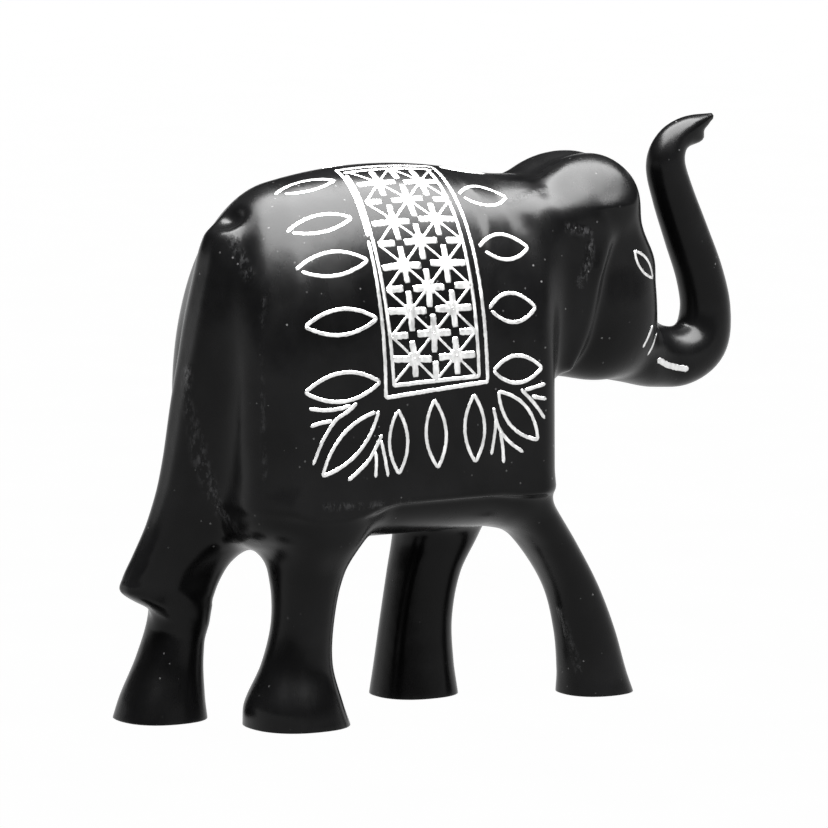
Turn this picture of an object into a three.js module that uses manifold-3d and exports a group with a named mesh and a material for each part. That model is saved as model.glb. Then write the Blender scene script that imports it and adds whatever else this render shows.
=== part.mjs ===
// Bidri elephant figurine, one casting with its trunk raised, in millimetres.
// +X points towards the head, +Z up, and +Y to the elephant's own left side.
//
// The whole figure is one form: every part is a function that is negative inside it, and the
// parts flow into each other as the cast metal does. The surface is then drawn as a fine net.

import * as THREE from 'three';
import { mergeVertices } from 'three/addons/utils/BufferGeometryUtils.js';
import Module from 'manifold-3d';

// Driving dimensions
const BACK_HEIGHT = 100;
const BODY_LENGTH = 61.1;
const BODY_WIDTH = 41;
const HEM_HEIGHT = 40.3;
const BELLY_HEIGHT = 32.5;
const HIND_STANCE = 18.8;
const FRONT_STANCE = 15.5;
const HIP_STANCE = 19.2;

// Back, flanks, rump and chest
const WAIST_HEIGHT = 58.9;
const BACK_CREST = 34.1;
const BACK_SPAN = 22.3;
const BACK_FALL = 2.7;
const FLANK_LEAN = 0.56;
const RUMP_BEND_HEIGHT = 55;
const RUMP_LEAN = 4.4;
const RUMP_ROUND = 9;
const CHEST_SWELL = 5;
const CHEST_ROUND = 3;
const HEM_ROUND = 1;

// Belly, inset below the hem
const HEM_STEP = 1.6;
const BELLY_REAR_INSET = 0.6;
const BELLY_ROUND = 5;
const BELLY_SQUARENESS = 2.8;

// How far the parts flow into each other
const HIP_BLEND = 5;
const NECK_BLEND = 5;
const BROW_BLEND = 3;
const TRUNK_BLEND = 4;
const EAR_BLEND = 3;
const TAIL_BLEND = 4;
const TAIL_ROOT_BLEND = 8;

// Legs, ears, tail and head
const LEG_SQUARENESS = 2.3;
const HIP_SQUARENESS = 2.8;
const HIP_START = 0.6;
const LEG_TOP_ROUND = 3;
const HEAD_SQUARENESS = 3;
const FACE_ROUND = 5;
const TAIL_ROUND = 3;
const TAIL_TIP_ROUND = 1.5;
const TAIL_DEPTH = 11;
const TAIL_TIP_SLANT = 0.35;
const TAIL_ROOT_LOW = 24;
const TAIL_ROOT_RISE = 24;
const TAIL_ROOT_HIGH = 88;
const TAIL_ROOT_FALL = 18;
const BROW_SPREAD = 13.4;
const BROW_HEIGHT = 91;
const BROW_LEAN = 0.75;
const BROW_ROUND = 1.5;
const EAR_ROUND = 2;
const EAR_CORNER = 6;
const EAR_SHELF_HEIGHT = 91;
const EAR_SHELF_SLOPE = 0.55;
const EAR_SPREAD = 13.6;
const EAR_ROOT = 8;
const TRUNK_STEPS = 90;

// Mesh of the net, and how deep the legs run below the soles before they are cut flat
const CELL = 2.7;
const NET_STEPS = 4;
const SOLE_ALLOWANCE = 4;

// The free forms keep their proportions as hundredths of the back's height
const HUNDREDTH = BACK_HEIGHT / 100;
const hundredths = (rows) => rows.map((row) => row.map((value) => value * HUNDREDTH));

// Legs: height, centre ahead of the rump (hind) or of the chest (front), half length, half width
const RIGHT_HIND_LEG = hundredths([
  [0, 12.6, 9.4, 9.5],
  [4, 12.0, 8.6, 8.7],
  [11, 12.7, 6.2, 6.4],
  [19, 13.9, 5.4, 5.8],
  [27.5, 14.6, 6.4, 7.1],
  [33.5, 15.1, 8.4, 10.3],
  [37.5, 14.3, 11.0, 10.8],
  [42.5, 14.9, 13.0, 11.2],
]);
const LEFT_HIND_LEG = hundredths([
  [0, -5.2, 8.3, 8.4],
  [4, -4.7, 7.4, 7.7],
  [11, -3.1, 5.8, 6.3],
  [18.5, -1.3, 5.1, 5.9],
  [26.5, 0.4, 6.5, 7.1],
  [33.5, 3.8, 8.7, 10.3],
  [42.5, 9.7, 10.2, 11.2],
]);
const LEFT_FRONT_LEG = hundredths([
  [0, -13.5, 8.1, 7.7],
  [6, -13.3, 7.2, 7.0],
  [14, -12.6, 6.5, 6.4],
  [22.5, -10.7, 6.6, 6.7],
  [29.5, -7.9, 7.7, 7.9],
  [38.5, -5.5, 9.4, 8.9],
]);
const RIGHT_FRONT_LEG = hundredths([
  [0, 16.5, 7.0, 6.9],
  [4, 15.7, 6.3, 6.1],
  [12, 13.8, 5.5, 5.5],
  [20.5, 10.5, 4.8, 5.6],
  [28.5, 5.3, 4.9, 6.6],
  [35.5, -0.7, 5.9, 8.0],
  [44.5, -8.1, 7.1, 8.9],
]);

// Tail: height, rear edge ahead of the rump, swing to the left, half width
const TAIL = hundredths([
  [20.5, -9.6, 6.6, 3.0],
  [24, -14.2, 6.1, 3.7],
  [26.5, -13.9, 5.9, 3.7],
  [30.5, -12.0, 5.3, 3.9],
  [36.5, -9.6, 4.1, 4.1],
  [44.5, -7.7, 2.6, 4.3],
  [59, -5.7, 1.0, 4.5],
  [71, -3.1, 0.3, 4.7],
  [81, -1.2, 0, 4.7],
  [86.5, -0.1, 0, 4.5],
  [91.5, 1.9, 0, 3.8],
]);
const TAIL_TOP = 89.5 * HUNDREDTH;
const TAIL_TIP = 21.5 * HUNDREDTH;

// Head and neck: place ahead of the chest, jaw height, crown height, half width
const HEAD = hundredths([
  [-5.7, 54.8, 93.4, 12.7],
  [0.4, 57.7, 95.2, 14.6],
  [7.5, 58.9, 96.9, 13.9],
  [13.6, 59.0, 98.9, 12.4],
  [18.7, 58.8, 99.7, 11.8],
  [23.8, 57.9, 98.7, 11.0],
  [27.8, 57.5, 96.0, 9.7],
  [30.9, 57.1, 88.3, 8.3],
  [32.9, 56.9, 79.2, 7.1],
]);
const NECK_REAR = -7.9 * HUNDREDTH;

// Face in profile: height, place ahead of the chest
const FACE = hundredths([
  [54.8, 37.0],
  [61, 33.9],
  [67, 30.9],
  [75, 31.4],
  [80, 31.2],
  [85.5, 28.1],
  [91.5, 26.2],
  [96.5, 25.2],
  [100.5, 23.4],
]);

// Domes of the forehead and swell of the cheeks: centre ahead of the chest, out, up; then half sizes
const [DOME_CENTRE, DOME_SIZE] = hundredths([[15.6, 5.6, 91.5], [10.2, 8.6, 8.0]]);
const [CHEEK_CENTRE, CHEEK_SIZE] = hundredths([[18.3, 5.6, 69.5], [11.6, 7.6, 11.3]]);
const TEMPLE_BLEND = 2;

// Rough hollow in the rump above the tail: centre ahead of the rump, out, up; then half sizes
const [HOLLOW_CENTRE, HOLLOW_SIZE] = hundredths([[2.8, -0.9, 92.8], [3.5, 4.6, 3.1]]);
const HOLLOW_BLEND = 1;

// Trunk along its centre line: place ahead of the chest, height, radius
const TRUNK = hundredths([
  [26.8, 64.5, 6.6],
  [33.9, 61.3, 5.8],
  [40.0, 60.6, 5.7],
  [44.7, 63.2, 5.4],
  [46.0, 69.0, 4.8],
  [44.7, 75.6, 4.5],
  [41.7, 83.2, 4.3],
  [38.6, 90.9, 4.0],
  [36.9, 96.8, 3.7],
  [38.2, 100.8, 3.1],
  [41.8, 103.2, 2.5],
  [46.9, 105.4, 0.7],
]);
const [LIP_CENTRE, LIP_SIZE] = hundredths([[42.7, 0, 101.8], [2.6, 1.8, 1.4]]);
const LIP_BLEND = 1;

// Ear: height, front edge ahead of the chest, width of the flap
const EAR = hundredths([
  [58, 5.8, 5.8],
  [62.5, 8.9, 8.4],
  [67, 10.8, 9.8],
  [72.5, 12.3, 10.4],
  [78, 13.8, 11.6],
  [85.5, 16.4, 14.8],
  [91.5, 16.0, 19.6],
]);
const EAR_LOBE_HEIGHT = 61 * HUNDREDTH;
const EAR_HANG = 28.5 * HUNDREDTH;
const EAR_TOP_FLARE = -0.08;
const EAR_FLARE = 0.1;
const EAR_FLARE_START = 2.5;
const EAR_BELLY = 0.4;

const clamp = (share) => Math.min(Math.max(share, 0), 1);
const eased = (share) => clamp(share) ** 2 * (3 - 2 * clamp(share));

// Ways of joining two forms

function smoothJoin(a, b, reach) {
  const overlap = Math.max(reach - Math.abs(a - b), 0) / reach;
  return Math.min(a, b) - (overlap * overlap * reach) / 4;
}

function roundedMeet(a, b, radius) {
  return Math.min(-radius, Math.max(a, b)) + Math.hypot(Math.max(radius + a, 0), Math.max(radius + b, 0));
}

// Distances, near enough close to the surface, to an oval section and to a ball with three half sizes

function oval(p, q, halfP, halfQ, squareness = 2) {
  const shareP = Math.abs(p / halfP) + 1e-6;
  const shareQ = Math.abs(q / halfQ) + 1e-6;
  const reach = (shareP ** squareness + shareQ ** squareness) ** (1 / squareness);
  const slope = Math.hypot(shareP ** (squareness - 1) / halfP, shareQ ** (squareness - 1) / halfQ);
  return ((reach - 1) * reach ** (squareness - 1)) / slope;
}

function ball(x, y, z, centre, size) {
  const share = [(x - centre[0]) / size[0], (y - centre[1]) / size[1], (z - centre[2]) / size[2]];
  const reach = Math.hypot(...share) + 1e-6;
  const slope = Math.hypot(share[0] / size[0], share[1] / size[1], share[2] / size[2]) + 1e-6;
  return (reach * (reach - 1)) / slope;
}

// A smooth value through rows of stations, held beyond both ends

function through(stations, at, column) {
  const last = stations.length - 1;
  const place = Math.min(Math.max(at, stations[0][0]), stations[last][0]);
  let row = 0;
  while (row < last - 1 && stations[row + 1][0] <= place) row += 1;
  const slopeAt = (i) => {
    const before = stations[Math.max(i - 1, 0)];
    const after = stations[Math.min(i + 1, last)];
    return (after[column] - before[column]) / (after[0] - before[0]);
  };
  const [from, to] = [stations[row], stations[row + 1]];
  const width = to[0] - from[0];
  const t = (place - from[0]) / width;
  return (
    from[column] * (1 + 2 * t) * (1 - t) ** 2 +
    slopeAt(row) * width * t * (1 - t) ** 2 +
    to[column] * t * t * (3 - 2 * t) +
    slopeAt(row + 1) * width * t * t * (t - 1)
  );
}

// Parts of the figure, each with x ahead of the rump unless it says otherwise

function flank(y, z) {
  const lean = (FLANK_LEAN * Math.max(WAIST_HEIGHT - z, 0)) / (WAIST_HEIGHT - HEM_HEIGHT);
  return Math.abs(y) - BODY_WIDTH / 2 - lean;
}

function torso(x, y, z) {
  const backHeight = BACK_HEIGHT - BACK_FALL * ((x - BACK_CREST) / BACK_SPAN) ** 2;
  const side = BODY_WIDTH / 2;
  const section = z > WAIST_HEIGHT ? oval(y, z - WAIST_HEIGHT, side, backHeight - WAIST_HEIGHT) : flank(y, z);
  const bend = Math.max(z - RUMP_BEND_HEIGHT, 0) / (BACK_HEIGHT - RUMP_BEND_HEIGHT);
  const rump = RUMP_LEAN * bend ** 2;
  const chest = BODY_LENGTH + CHEST_SWELL * (1 - (y / side) ** 2);
  let body = roundedMeet(section, rump - x, RUMP_ROUND);
  body = roundedMeet(body, x - chest, CHEST_ROUND);
  return roundedMeet(body, HEM_HEIGHT - z, HEM_ROUND);
}

function belly(x, y, z) {
  const halfHeight = (WAIST_HEIGHT - BELLY_HEIGHT) / 2;
  const halfWidth = BODY_WIDTH / 2 - HEM_STEP;
  const section = oval(y, z - BELLY_HEIGHT - halfHeight, halfWidth, halfHeight, BELLY_SQUARENESS);
  const ends = Math.max(BELLY_REAR_INSET - x, x - BODY_LENGTH + HEM_STEP);
  return roundedMeet(section, ends, BELLY_ROUND);
}

function leg(x, y, z, stations, side, footStance, topSquareness) {
  const rise = clamp(z / HEM_HEIGHT);
  const stance = footStance + (HIP_STANCE - footStance) * rise;
  const hip = Math.max(rise - HIP_START, 0) / (1 - HIP_START);
  const squareness = LEG_SQUARENESS + (topSquareness - LEG_SQUARENESS) * hip;
  const along = x - through(stations, z, 1);
  const across = y - (side * stance) / 2;
  const section = oval(along, across, through(stations, z, 2), through(stations, z, 3), squareness);
  return roundedMeet(section, z - stations[stations.length - 1][0], LEG_TOP_ROUND);
}

function tail(x, y, z) {
  const rear = through(TAIL, z, 1);
  const across = Math.abs(y - through(TAIL, z, 2)) - through(TAIL, z, 3);
  const along = Math.max(rear - x, x - rear - TAIL_DEPTH);
  const tip = TAIL_TIP - TAIL_TIP_SLANT * (x + TAIL_DEPTH) - z;
  const sides = roundedMeet(along, across, TAIL_ROUND);
  return roundedMeet(sides, Math.max(tip, z - TAIL_TOP), TAIL_TIP_ROUND);
}

// Parts of the head, with x ahead of the chest

function skull(x, y, z) {
  const jaw = through(HEAD, x, 1);
  const crown = through(HEAD, x, 2);
  const section = oval(y, z - (jaw + crown) / 2, through(HEAD, x, 3), (crown - jaw) / 2, HEAD_SQUARENESS);
  const face = roundedMeet(section, x - through(FACE, z, 1), FACE_ROUND);
  return Math.max(face, NECK_REAR - x);
}

function temples(x, y, z) {
  const side = Math.abs(y);
  const brow = side - BROW_SPREAD + BROW_LEAN * Math.max(z - BROW_HEIGHT, 0);
  const dome = roundedMeet(ball(x, side, z, DOME_CENTRE, DOME_SIZE), brow, BROW_ROUND);
  const cheek = ball(x, side, z, CHEEK_CENTRE, CHEEK_SIZE);
  return smoothJoin(dome, cheek, TEMPLE_BLEND);
}

function ear(x, y, z) {
  const side = Math.abs(y);
  const front = through(EAR, z, 1);
  const shelf = z - EAR_SHELF_HEIGHT - EAR_SHELF_SLOPE * (EAR_SPREAD - side);
  const ends = Math.max(x - front, front - through(EAR, z, 2) - x);
  const flap = roundedMeet(ends, shelf, EAR_CORNER);
  const outline = Math.max(flap, EAR_LOBE_HEIGHT - z, EAR_ROOT - side);
  const hang = clamp((EAR_SHELF_HEIGHT - z) / EAR_HANG);
  const flare = EAR_TOP_FLARE + (EAR_FLARE - EAR_TOP_FLARE) * Math.min(EAR_FLARE_START * hang, 1);
  const spread = EAR_SPREAD + flare * x - EAR_BELLY * hang * hang;
  return roundedMeet(outline, side - spread, EAR_ROUND);
}

// The trunk is a row of short tapered lengths along its centre line

const trunkLine = Array.from({ length: TRUNK_STEPS + 1 }, (_, step) => {
  const rows = TRUNK.map((row, index) => [index, ...row]);
  const at = (step / TRUNK_STEPS) * (TRUNK.length - 1);
  return [1, 2, 3].map((column) => through(rows, at, column));
});

function trunk(x, y, z) {
  let nearest = Infinity;
  for (let step = 0; step < TRUNK_STEPS; step += 1) {
    const [fromX, fromZ, fromRadius] = trunkLine[step];
    const [toX, toZ, toRadius] = trunkLine[step + 1];
    const [runX, runZ] = [toX - fromX, toZ - fromZ];
    const share = ((x - fromX) * runX + (z - fromZ) * runZ) / (runX ** 2 + runZ ** 2);
    const t = clamp(share);
    const away = Math.hypot(x - fromX - t * runX, y, z - fromZ - t * runZ);
    nearest = Math.min(nearest, away - fromRadius - t * (toRadius - fromRadius));
  }
  return smoothJoin(nearest, ball(x, y, z, LIP_CENTRE, LIP_SIZE), LIP_BLEND);
}

function head(x, y, z) {
  let form = smoothJoin(skull(x, y, z), trunk(x, y, z), TRUNK_BLEND);
  form = smoothJoin(form, temples(x, y, z), BROW_BLEND);
  return smoothJoin(form, ear(x, y, z), EAR_BLEND);
}

function elephant(x, y, z) {
  const ahead = x - BODY_LENGTH;
  let form = smoothJoin(torso(x, y, z), belly(x, y, z), HEM_ROUND);
  form = smoothJoin(form, head(ahead, y, z), NECK_BLEND);
  form = smoothJoin(form, leg(x, y, z, RIGHT_HIND_LEG, -1, HIND_STANCE, HIP_SQUARENESS), HIP_BLEND);
  form = smoothJoin(form, leg(x, y, z, LEFT_HIND_LEG, 1, HIND_STANCE, HIP_SQUARENESS), HIP_BLEND);
  form = smoothJoin(form, leg(ahead, y, z, RIGHT_FRONT_LEG, -1, FRONT_STANCE, LEG_SQUARENESS), HIP_BLEND);
  form = smoothJoin(form, leg(ahead, y, z, LEFT_FRONT_LEG, 1, FRONT_STANCE, LEG_SQUARENESS), HIP_BLEND);
  form = Math.max(form, flank(y, z));
  const root = eased((z - TAIL_ROOT_LOW) / TAIL_ROOT_RISE) * eased((TAIL_ROOT_HIGH - z) / TAIL_ROOT_FALL);
  form = smoothJoin(form, tail(x, y, z), TAIL_BLEND + (TAIL_ROOT_BLEND - TAIL_BLEND) * root);
  return -smoothJoin(-form, ball(x, y, z, HOLLOW_CENTRE, HOLLOW_SIZE), HOLLOW_BLEND);
}

// The net: one point in each cell that the surface crosses, moved onto the surface

function gridOver(low, high, cell) {
  const from = low.map((value) => Math.floor(value / cell) - 1);
  const count = high.map((value, axis) => Math.ceil(value / cell) + 2 - from[axis]);
  return { from, count };
}

function settle(field, point, low, cell) {
  const [x, y, z] = point;
  const tiny = cell / 40;
  const value = field(x, y, z);
  const slope = [
    (field(x + tiny, y, z) - field(x - tiny, y, z)) / (2 * tiny),
    (field(x, y + tiny, z) - field(x, y - tiny, z)) / (2 * tiny),
    (field(x, y, z + tiny) - field(x, y, z - tiny)) / (2 * tiny),
  ];
  const steepness = Math.max(slope[0] ** 2 + slope[1] ** 2 + slope[2] ** 2, 0.05);
  const margin = cell / 20;
  return point.map((coordinate, axis) => {
    const moved = coordinate - (value * slope[axis]) / steepness;
    return Math.min(Math.max(moved, low[axis] + margin), low[axis] + cell - margin);
  });
}

const CORNERS = Array.from({ length: 8 }, (_, n) => [n & 1, (n >> 1) & 1, n >> 2]);
const EDGES = CORNERS.flatMap((_, a) => [1, 2, 4].filter((bit) => !(a & bit)).map((bit) => [a, a | bit]));

// A pattern has one bit for each corner of a cell. True if its corners hang together along the cell's edges

function hangsTogether(pattern) {
  let reached = pattern & -pattern;
  for (let pass = 0; pass < EDGES.length; pass += 1) {
    for (const [a, b] of EDGES) {
      const both = (1 << a) | (1 << b);
      if ((pattern & both) === both && reached & both) reached |= both;
    }
  }
  return reached === pattern;
}

const ALL_CORNERS = 2 ** CORNERS.length - 1;
const TANGLED = Array.from({ length: ALL_CORNERS + 1 }, (_, inside) => {
  return !(hangsTogether(inside) && hangsTogether(ALL_CORNERS - inside));
});

// Fills the least open corner of each cell where two sheets of the surface would touch

function untangle(values, indexOf, [nx, ny, nz], cell) {
  const offsets = CORNERS.map(([a, b, c]) => indexOf(a, b, c));
  let changed = true;
  while (changed) {
    changed = false;
    for (let i = 0; i < nx - 1; i += 1) {
      for (let j = 0; j < ny - 1; j += 1) {
        for (let k = 0; k < nz - 1; k += 1) {
          const first = indexOf(i, j, k);
          let inside = 0;
          for (let n = 0; n < offsets.length; n += 1) {
            if (values[first + offsets[n]] < 0) inside |= 1 << n;
          }
          if (TANGLED[inside]) {
            const open = offsets.map((offset) => first + offset).filter((index) => values[index] >= 0);
            const least = open.reduce((best, index) => (values[index] < values[best] ? index : best));
            values[least] = -cell / 20;
            changed = true;
          }
        }
      }
    }
  }
}

function netOver(field, low, high, cell) {
  const { from, count } = gridOver(low, high, cell);
  const [nx, ny, nz] = count;
  const indexOf = (i, j, k) => (i * ny + j) * nz + k;
  const place = (i, j, k) => [(from[0] + i) * cell, (from[1] + j) * cell, (from[2] + k) * cell];
  const values = new Float64Array(nx * ny * nz);
  for (let i = 0; i < nx; i += 1) {
    for (let j = 0; j < ny; j += 1) {
      for (let k = 0; k < nz; k += 1) values[indexOf(i, j, k)] = field(...place(i, j, k));
    }
  }
  untangle(values, indexOf, count, cell);

  const points = [];
  const pointOfCell = new Map();
  for (let i = 0; i < nx - 1; i += 1) {
    for (let j = 0; j < ny - 1; j += 1) {
      for (let k = 0; k < nz - 1; k += 1) {
        const at = CORNERS.map(([a, b, c]) => values[indexOf(i + a, j + b, k + c)]);
        const crossed = EDGES.filter(([a, b]) => at[a] < 0 !== at[b] < 0);
        if (crossed.length > 0) {
          const lowCorner = place(i, j, k);
          const sum = [0, 0, 0];
          for (const [a, b] of crossed) {
            const t = at[a] / (at[a] - at[b]);
            for (let axis = 0; axis < 3; axis += 1) {
              sum[axis] += CORNERS[a][axis] + t * (CORNERS[b][axis] - CORNERS[a][axis]);
            }
          }
          let point = sum.map((total, axis) => lowCorner[axis] + (total / crossed.length) * cell);
          for (let step = 0; step < NET_STEPS; step += 1) point = settle(field, point, lowCorner, cell);
          pointOfCell.set(indexOf(i, j, k), points.length);
          points.push(point);
        }
      }
    }
  }

  const triangles = [];
  const addQuad = (ring, outward) => {
    const [a, b, c, d] = outward ? ring : [...ring].reverse();
    const across = (p, q) => Math.hypot(...points[p].map((value, axis) => value - points[q][axis]));
    if (across(a, c) < across(b, d)) triangles.push(a, b, c, a, c, d);
    else triangles.push(b, c, d, b, d, a);
  };
  for (let i = 1; i < nx - 1; i += 1) {
    for (let j = 1; j < ny - 1; j += 1) {
      for (let k = 1; k < nz - 1; k += 1) {
        const here = values[indexOf(i, j, k)] < 0;
        const cellAt = (a, b, c) => pointOfCell.get(indexOf(i - a, j - b, k - c));
        if (here !== values[indexOf(i + 1, j, k)] < 0) {
          addQuad([cellAt(0, 1, 1), cellAt(0, 0, 1), cellAt(0, 0, 0), cellAt(0, 1, 0)], here);
        }
        if (here !== values[indexOf(i, j + 1, k)] < 0) {
          addQuad([cellAt(1, 0, 1), cellAt(1, 0, 0), cellAt(0, 0, 0), cellAt(0, 0, 1)], here);
        }
        if (here !== values[indexOf(i, j, k + 1)] < 0) {
          addQuad([cellAt(1, 1, 0), cellAt(0, 1, 0), cellAt(0, 0, 0), cellAt(1, 0, 0)], here);
        }
      }
    }
  }

  const geometry = new THREE.BufferGeometry();
  geometry.setAttribute('position', new THREE.Float32BufferAttribute(points.flat(), 3));
  geometry.setIndex(triangles);
  return geometry;
}

// The soles are cut flat on the floor

const wasm = await Module();
wasm.setup();

function toSolid(geometry) {
  const bare = new THREE.BufferGeometry();
  bare.setAttribute('position', geometry.getAttribute('position'));
  bare.setIndex(geometry.getIndex());
  const merged = mergeVertices(bare);
  return new wasm.Manifold(
    new wasm.Mesh({
      numProp: 3,
      vertProperties: new Float32Array(merged.getAttribute('position').array),
      triVerts: new Uint32Array(merged.getIndex().array),
    }),
  );
}

function toGeometry(solid) {
  const mesh = solid.getMesh();
  const geometry = new THREE.BufferGeometry();
  geometry.setAttribute('position', new THREE.BufferAttribute(mesh.vertProperties, 3));
  geometry.setIndex(new THREE.BufferAttribute(mesh.triVerts, 1));
  return geometry;
}

function cutSoles(geometry, low, high) {
  const floor = new THREE.BoxGeometry(high[0] - low[0], high[1] - low[1], -low[2]);
  floor.translate((low[0] + high[0]) / 2, (low[1] + high[1]) / 2, low[2] / 2);
  return toGeometry(toSolid(geometry).subtract(toSolid(floor)));
}

// The box that the net covers, worked out from the sizes with a margin all round

const column = (rows, index) => rows.map((row) => row[index]);
const MARGIN = 4 * CELL;
const low = [
  Math.min(...column(TAIL, 1), LEFT_HIND_LEG[0][1] - LEFT_HIND_LEG[0][2]) - MARGIN,
  -BODY_WIDTH / 2 - MARGIN,
  -SOLE_ALLOWANCE - MARGIN,
];
const high = [
  BODY_LENGTH + Math.max(...TRUNK.map(([ahead, , radius]) => ahead + radius)) + MARGIN,
  BODY_WIDTH / 2 + MARGIN,
  Math.max(BACK_HEIGHT, ...TRUNK.map(([, height, radius]) => height + radius)) + MARGIN,
];

const standing = (x, y, z) => Math.max(elephant(x, y, z), -SOLE_ALLOWANCE - z);
const geometry = cutSoles(netOver(standing, low, high, CELL), low, high);
geometry.computeBoundingBox();
const middle = geometry.boundingBox.getCenter(new THREE.Vector3());
geometry.translate(-middle.x, -middle.y, 0);
geometry.computeVertexNormals();

const blackenedAlloy = new THREE.MeshStandardMaterial({ color: 0x0f0f10, metalness: 0.35, roughness: 0.38 });
const figure = new THREE.Mesh(geometry, blackenedAlloy);
figure.name = 'elephant';

const part = new THREE.Group();
part.add(figure);

export default part;
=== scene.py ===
"""Bidri elephant figurine: the blackened casting and its silver inlay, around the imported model.

The form is one field, negative inside, in millimetres: x runs ahead from the rump, y to the
elephant's left and z up from the floor. Its surface is drawn as a fine net, moved to the frame's
place and turned to metres. The inlay is laid out on the surface in real sizes.
"""
import math

import bmesh
import bpy
import numpy as np
from mathutils import Matrix, Vector


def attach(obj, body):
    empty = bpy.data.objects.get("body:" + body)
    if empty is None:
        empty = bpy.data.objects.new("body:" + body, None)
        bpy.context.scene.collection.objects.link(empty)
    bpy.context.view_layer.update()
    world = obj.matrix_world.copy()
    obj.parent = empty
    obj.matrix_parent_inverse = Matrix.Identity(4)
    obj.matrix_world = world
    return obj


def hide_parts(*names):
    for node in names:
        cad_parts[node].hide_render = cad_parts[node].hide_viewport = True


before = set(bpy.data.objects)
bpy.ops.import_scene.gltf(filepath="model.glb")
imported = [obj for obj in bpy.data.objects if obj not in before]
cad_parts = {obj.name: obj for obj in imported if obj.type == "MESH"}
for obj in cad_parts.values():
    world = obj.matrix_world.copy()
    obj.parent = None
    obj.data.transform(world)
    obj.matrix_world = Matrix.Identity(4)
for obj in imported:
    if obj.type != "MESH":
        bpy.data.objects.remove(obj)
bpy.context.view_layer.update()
MM = 0.001

# Driving sizes of the casting. x of the head and front legs is counted from the chest
BACK_HEIGHT = 100.0
BODY_LENGTH = 61.1
BODY_WIDTH = 41.0
HEM_HEIGHT = 40.3
BELLY_HEIGHT = 32.5
HIND_STANCE = 18.8
FRONT_STANCE = 15.5
HIP_STANCE = 19.2

# Back, flanks, rump, chest and belly
WAIST_HEIGHT = 58.9
BACK_CREST = 34.1
BACK_SPAN = 22.3
BACK_FALL = 2.7
FLANK_LEAN = 0.56
RUMP_BEND_HEIGHT = 55.0
RUMP_LEAN = 4.4
RUMP_ROUND = 9.0
CHEST_SWELL = 5.0
CHEST_ROUND = 3.0
HEM_ROUND = 1.0
HEM_STEP = 1.6
BELLY_REAR_INSET = 0.6
BELLY_ROUND = 5.0
BELLY_SQUARENESS = 2.8

# How far the parts flow into each other
HIP_BLEND = 5.0
NECK_BLEND = 5.0
BROW_BLEND = 3.0
TRUNK_BLEND = 4.0
EAR_BLEND = 3.0
TAIL_BLEND = 4.0
TAIL_ROOT_BLEND = 8.0
TEMPLE_BLEND = 2.0
HOLLOW_BLEND = 1.0
LIP_BLEND = 1.0

# Legs, head, tail and ears
LEG_SQUARENESS = 2.3
HIP_SQUARENESS = 2.8
HIP_START = 0.6
LEG_TOP_ROUND = 3.0
HEAD_SQUARENESS = 3.0
FACE_ROUND = 5.0
TAIL_ROUND = 3.0
TAIL_TIP_ROUND = 1.5
TAIL_DEPTH = 11.0
TAIL_TIP_SLANT = 0.35
TAIL_ROOT_LOW = 24.0
TAIL_ROOT_RISE = 24.0
TAIL_ROOT_HIGH = 88.0
TAIL_ROOT_FALL = 18.0
BROW_SPREAD = 13.4
BROW_HEIGHT = 91.0
BROW_LEAN = 0.75
BROW_ROUND = 1.5
EAR_ROUND = 2.0
EAR_CORNER = 6.0
EAR_SHELF_HEIGHT = 91.0
EAR_SHELF_SLOPE = 0.55
EAR_SPREAD = 13.6
EAR_ROOT = 8.0
EAR_LOBE_HEIGHT = 61.0
EAR_HANG = 28.5
EAR_TOP_FLARE = -0.08
EAR_FLARE = 0.1
EAR_FLARE_START = 2.5
EAR_BELLY = 0.4
TRUNK_STEPS = 90

# Legs: height, centre ahead of the rump (hind) or of the chest (front), half length, half width
RIGHT_HIND_LEG = (
    (0, 12.6, 9.4, 9.5),
    (4, 12.0, 8.6, 8.7),
    (11, 12.7, 6.2, 6.4),
    (19, 13.9, 5.4, 5.8),
    (27.5, 14.6, 6.4, 7.1),
    (33.5, 15.1, 8.4, 10.3),
    (37.5, 14.3, 11.0, 10.8),
    (42.5, 14.9, 13.0, 11.2),
)
LEFT_HIND_LEG = (
    (0, -5.2, 8.3, 8.4),
    (4, -4.7, 7.4, 7.7),
    (11, -3.1, 5.8, 6.3),
    (18.5, -1.3, 5.1, 5.9),
    (26.5, 0.4, 6.5, 7.1),
    (33.5, 3.8, 8.7, 10.3),
    (42.5, 9.7, 10.2, 11.2),
)
LEFT_FRONT_LEG = (
    (0, -13.5, 8.1, 7.7),
    (6, -13.3, 7.2, 7.0),
    (14, -12.6, 6.5, 6.4),
    (22.5, -10.7, 6.6, 6.7),
    (29.5, -7.9, 7.7, 7.9),
    (38.5, -5.5, 9.4, 8.9),
)
RIGHT_FRONT_LEG = (
    (0, 16.5, 7.0, 6.9),
    (4, 15.7, 6.3, 6.1),
    (12, 13.8, 5.5, 5.5),
    (20.5, 10.5, 4.8, 5.6),
    (28.5, 5.3, 4.9, 6.6),
    (35.5, -0.7, 5.9, 8.0),
    (44.5, -8.1, 7.1, 8.9),
)

# Tail: height, rear edge ahead of the rump, swing to the left, half width
TAIL = (
    (20.5, -9.6, 6.6, 3.0),
    (24, -14.2, 6.1, 3.7),
    (26.5, -13.9, 5.9, 3.7),
    (30.5, -12.0, 5.3, 3.9),
    (36.5, -9.6, 4.1, 4.1),
    (44.5, -7.7, 2.6, 4.3),
    (59, -5.7, 1.0, 4.5),
    (71, -3.1, 0.3, 4.7),
    (81, -1.2, 0, 4.7),
    (86.5, -0.1, 0, 4.5),
    (91.5, 1.9, 0, 3.8),
)
TAIL_TOP = 89.5
TAIL_TIP = 21.5

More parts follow.
